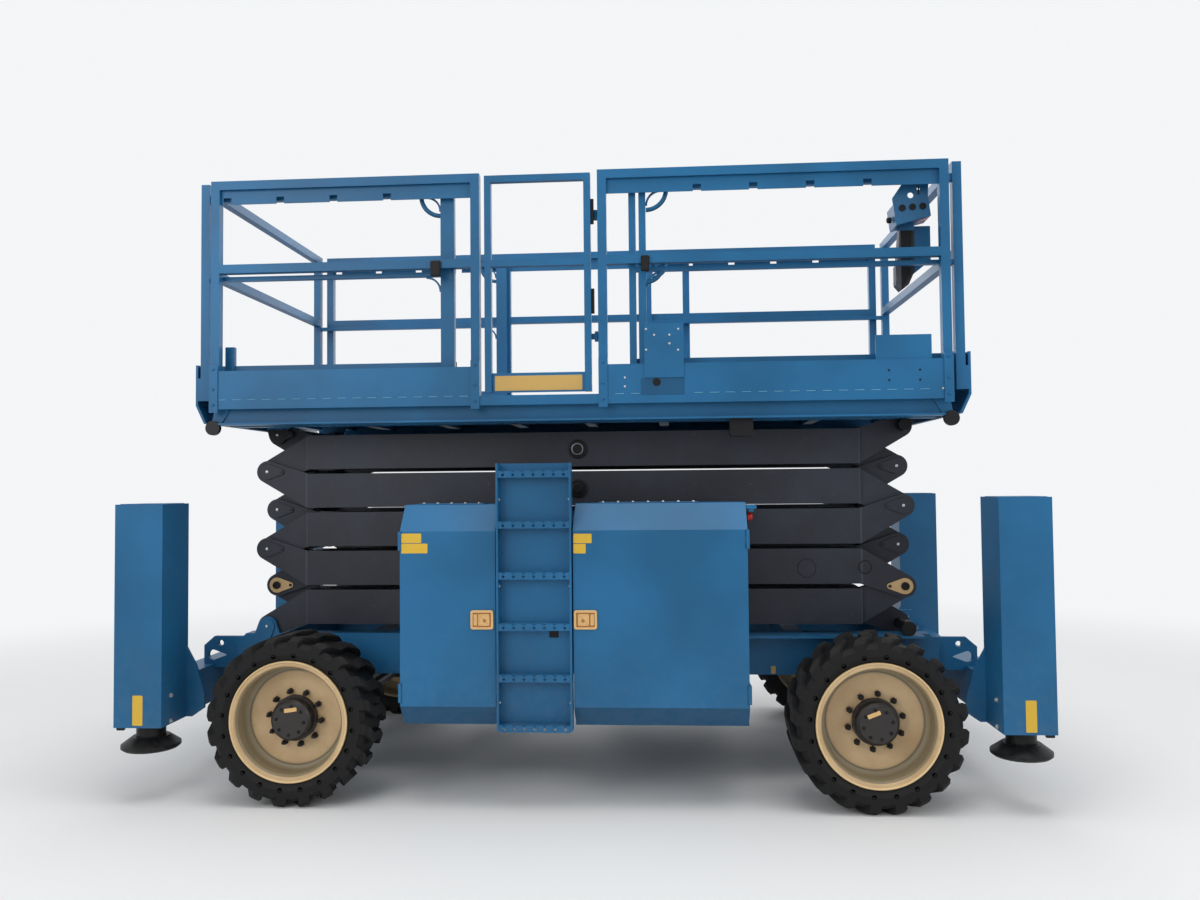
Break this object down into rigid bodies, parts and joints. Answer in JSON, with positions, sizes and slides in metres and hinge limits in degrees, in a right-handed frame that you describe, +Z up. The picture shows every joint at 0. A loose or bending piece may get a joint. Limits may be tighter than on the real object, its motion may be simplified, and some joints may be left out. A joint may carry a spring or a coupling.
{
  "type": "rough-terrain scissor lift",
  "caption": "Four-wheeled scissor lift with corner outriggers, stacked crossed arms, a railed platform with roll-out decks, and side cabinets.",
  "frame": {"origin": "on the ground under the middle of the machine", "axes": "+X along the machine towards the fixed axle, +Y across towards the side without the ladder, +Z up"},
  "size_m": [4.589, 2.3038, 3.185],
  "materials": {
    "blue_paint": "semi-gloss enamel",
    "arm_paint": "satin dark grey enamel",
    "black_paint": "satin black enamel",
    "rim_paint": "satin cream enamel",
    "tyre": "solid black rubber",
    "chrome": "ground and plated",
    "battery_case": "matt",
    "grey_plastic": "matt"
  },
  "bodies": {
    "chassis": {"frame": "blue_paint", "roller_tracks": "blue_paint", "outriggers": "blue_paint", "cabinets_near": "blue_paint", "cabinets_far": "blue_paint", "batteries": "battery_case", "ladder": "blue_paint", "fixed_axle": "black_paint", "steer_axle": "black_paint"},
    "outer_1": {"outer_arms_1": "arm_paint"},
    "inner_1": {"inner_arms_1": "arm_paint", "lower_rollers": "chrome"},
    "outer_2": {"outer_arms_2": "arm_paint"},
    "inner_2": {"inner_arms_2": "arm_paint"},
    "outer_3": {"outer_arms_3": "arm_paint"},
    "inner_3": {"inner_arms_3": "arm_paint"},
    "outer_4": {"outer_arms_4": "arm_paint"},
    "inner_4": {"inner_arms_4": "arm_paint"},
    "outer_5": {"outer_arms_5": "arm_paint", "upper_rollers": "chrome"},
    "inner_5": {"inner_arms_5": "arm_paint"},
    "platform": {"deck": "blue_paint", "deck_beams": "blue_paint", "deck_side_near": "blue_paint", "deck_side_far": "blue_paint", "switch_box": "grey_plastic", "rails_near": "blue_paint", "rails_far": "blue_paint"},
    "barrel_lower": {"barrel_lower": "black_paint"},
    "rod_lower": {"rod_lower": "chrome"},
    "barrel_upper": {"barrel_upper": "black_paint"},
    "rod_upper": {"rod_upper": "chrome"},
    "extension_left": {"extension_left": "blue_paint"},
    "extension_right": {"extension_right": "blue_paint", "control_box": "grey_plastic"},
    "gate": {"gate": "blue_paint"},
    "door_near_left": {"door_near_left": "blue_paint"},
    "door_near_right": {"door_near_right": "blue_paint"},
    "door_far_left": {"door_far_left": "blue_paint"},
    "door_far_right": {"door_far_right": "blue_paint"},
    "knuckle_near": {"knuckle_near": "black_paint"},
    "knuckle_far": {"knuckle_far": "black_paint"},
    "tie_rod": {"tie_rod": "black_paint"},
    "wheel_near_left": {"tyre_near_left": "tyre", "rim_near_left": "rim_paint"},
    "wheel_near_right": {"tyre_near_right": "tyre", "rim_near_right": "rim_paint"},
    "wheel_far_left": {"tyre_far_left": "tyre", "rim_far_left": "rim_paint"},
    "wheel_far_right": {"tyre_far_right": "tyre", "rim_far_right": "rim_paint"},
    "leg_near_left": {"leg_near_left": "black_paint"},
    "leg_near_right": {"leg_near_right": "black_paint"},
    "leg_far_left": {"leg_far_left": "black_paint"},
    "leg_far_right": {"leg_far_right": "black_paint"}
  },
  "joints": [
    {"name": "lift", "type": "hinge", "parent": "chassis", "child": "outer_1", "pos_m": [-1.712, 0, 0.8125], "axis": [0, -1, 0], "range_deg": [0, 57]},
    {"name": "outer_fold_2", "type": "hinge", "parent": "outer_1", "child": "outer_2", "pos_m": [1.712, 0, 1.0233], "axis": [0, -1, 0], "range_deg": [-114, 0]},
    {"name": "outer_fold_3", "type": "hinge", "parent": "outer_2", "child": "outer_3", "pos_m": [-1.712, 0, 1.2341], "axis": [0, -1, 0], "range_deg": [0, 114]},
    {"name": "outer_fold_4", "type": "hinge", "parent": "outer_3", "child": "outer_4", "pos_m": [1.712, 0, 1.4449], "axis": [0, -1, 0], "range_deg": [-114, 0]},
    {"name": "outer_fold_5", "type": "hinge", "parent": "outer_4", "child": "outer_5", "pos_m": [-1.712, 0, 1.6557], "axis": [0, -1, 0], "range_deg": [0, 114]},
    {"name": "cross_1", "type": "hinge", "parent": "outer_1", "child": "inner_1", "pos_m": [0, 0, 0.9179], "axis": [0, -1, 0], "range_deg": [-114, 0]},
    {"name": "cross_2", "type": "hinge", "parent": "outer_2", "child": "inner_2", "pos_m": [0, 0, 1.1287], "axis": [0, -1, 0], "range_deg": [0, 114]},
    {"name": "cross_3", "type": "hinge", "parent": "outer_3", "child": "inner_3", "pos_m": [0, 0, 1.3395], "axis": [0, -1, 0], "range_deg": [-114, 0]},
    {"name": "cross_4", "type": "hinge", "parent": "outer_4", "child": "inner_4", "pos_m": [0, 0, 1.5503], "axis": [0, -1, 0], "range_deg": [0, 114]},
    {"name": "cross_5", "type": "hinge", "parent": "outer_5", "child": "inner_5", "pos_m": [0, 0, 1.7611], "axis": [0, -1, 0], "range_deg": [-114, 0]},
    {"name": "platform_pivot", "type": "hinge", "parent": "inner_5", "child": "platform", "pos_m": [-1.712, 0, 1.8665], "axis": [0, -1, 0], "range_deg": [0, 57]},
    {"name": "barrel_swing_lower", "type": "hinge", "parent": "inner_1", "child": "barrel_lower", "pos_m": [-1.34, 0, 0.8629], "axis": [0, -1, 0], "range_deg": [0, 110.77]},
    {"name": "rod_slide_lower", "type": "slide", "parent": "barrel_lower", "child": "rod_lower", "axis": [0.9512, 0, 0.3087], "range_m": [0, 0.6757]},
    {"name": "barrel_swing_upper", "type": "hinge", "parent": "inner_3", "child": "barrel_upper", "pos_m": [-1.34, 0, 1.2845], "axis": [0, -1, 0], "range_deg": [0, 110.77]},
    {"name": "rod_slide_upper", "type": "slide", "parent": "barrel_upper", "child": "rod_upper", "axis": [0.9512, 0, 0.3087], "range_m": [0, 0.6757]},
    {"name": "deck_out_left", "type": "slide", "parent": "platform", "child": "extension_left", "axis": [-1, 0, 0], "range_m": [0, 1.05]},
    {"name": "deck_out_right", "type": "slide", "parent": "platform", "child": "extension_right", "axis": [1, 0, 0], "range_m": [0, 1.3]},
    {"name": "gate_swing", "type": "hinge", "parent": "platform", "child": "gate", "pos_m": [0.125, -0.863, 2.6], "axis": [0, 0, -1], "range_deg": [0, 90]},
    {"name": "door_near_left_swing", "type": "hinge", "parent": "chassis", "child": "door_near_left", "pos_m": [-0.834, -1.13, 0.9], "axis": [0, 0, -1], "range_deg": [0, 90]},
    {"name": "door_near_right_swing", "type": "hinge", "parent": "chassis", "child": "door_near_right", "pos_m": [0.861, -1.13, 0.9], "axis": [0, 0, 1], "range_deg": [0, 90]},
    {"name": "door_far_left_swing", "type": "hinge", "parent": "chassis", "child": "door_far_left", "pos_m": [-0.834, 1.13, 0.9], "axis": [0, 0, 1], "range_deg": [0, 90]},
    {"name": "door_far_right_swing", "type": "hinge", "parent": "chassis", "child": "door_far_right", "pos_m": [0.861, 1.13, 0.9], "axis": [0, 0, -1], "range_deg": [0, 90]},
    {"name": "steer", "type": "hinge", "parent": "chassis", "child": "knuckle_near", "pos_m": [-1.395, -0.785, 0.416], "axis": [0, 0, 1], "range_deg": [-30, 30]},
    {"name": "steer_far", "type": "hinge", "parent": "chassis", "child": "knuckle_far", "pos_m": [-1.395, 0.785, 0.416], "axis": [0, 0, 1], "range_deg": [-30, 30]},
    {"name": "tie_rod_pivot", "type": "hinge", "parent": "knuckle_near", "child": "tie_rod", "pos_m": [-1.205, -0.785, 0.452], "axis": [0, 0, 1], "range_deg": [-30, 30]},
    {"name": "roll_near_left", "type": "hinge", "parent": "knuckle_near", "child": "wheel_near_left", "pos_m": [-1.395, -0.99, 0.416], "axis": [0, 1, 0], "continuous": true},
    {"name": "roll_near_right", "type": "hinge", "parent": "chassis", "child": "wheel_near_right", "pos_m": [1.465, -0.99, 0.416], "axis": [0, 1, 0], "continuous": true},
    {"name": "roll_far_left", "type": "hinge", "parent": "knuckle_far", "child": "wheel_far_left", "pos_m": [-1.395, 0.99, 0.416], "axis": [0, 1, 0], "continuous": true},
    {"name": "roll_far_right", "type": "hinge", "parent": "chassis", "child": "wheel_far_right", "pos_m": [1.465, 0.99, 0.416], "axis": [0, 1, 0], "continuous": true},
    {"name": "outrigger_near_left", "type": "slide", "parent": "chassis", "child": "leg_near_left", "axis": [0, 0, -1], "range_m": [0, 0.4]},
    {"name": "outrigger_near_right", "type": "slide", "parent": "chassis", "child": "leg_near_right", "axis": [0, 0, -1], "range_m": [0, 0.4]},
    {"name": "outrigger_far_left", "type": "slide", "parent": "chassis", "child": "leg_far_left", "axis": [0, 0, -1], "range_m": [0, 0.4]},
    {"name": "outrigger_far_right", "type": "slide", "parent": "chassis", "child": "leg_far_right", "axis": [0, 0, -1], "range_m": [0, 0.4]}
  ],
  "couplings": [
    {"joint": "outer_fold_2", "follows": "lift", "ratio": -2},
    {"joint": "outer_fold_3", "follows": "lift", "ratio": 2},
    {"joint": "outer_fold_4", "follows": "lift", "ratio": -2},
    {"joint": "outer_fold_5", "follows": "lift", "ratio": 2},
    {"joint": "cross_1", "follows": "lift", "ratio": -2},
    {"joint": "cross_2", "follows": "lift", "ratio": 2},
    {"joint": "cross_3", "follows": "lift", "ratio": -2},
    {"joint": "cross_4", "follows": "lift", "ratio": 2},
    {"joint": "cross_5", "follows": "lift", "ratio": -2},
    {"joint": "platform_pivot", "follows": "lift", "ratio": 1},
    {"joint": "barrel_swing_lower", "follows": "lift", "ratio": 1.9432},
    {"joint": "rod_slide_lower", "follows": "lift", "m_per_rad": 0.67866},
    {"joint": "barrel_swing_upper", "follows": "lift", "ratio": 1.9432},
    {"joint": "rod_slide_upper", "follows": "lift", "m_per_rad": 0.67866},
    {"joint": "steer_far", "follows": "steer", "ratio": 1},
    {"joint": "tie_rod_pivot", "follows": "steer", "ratio": -1}
  ]
}
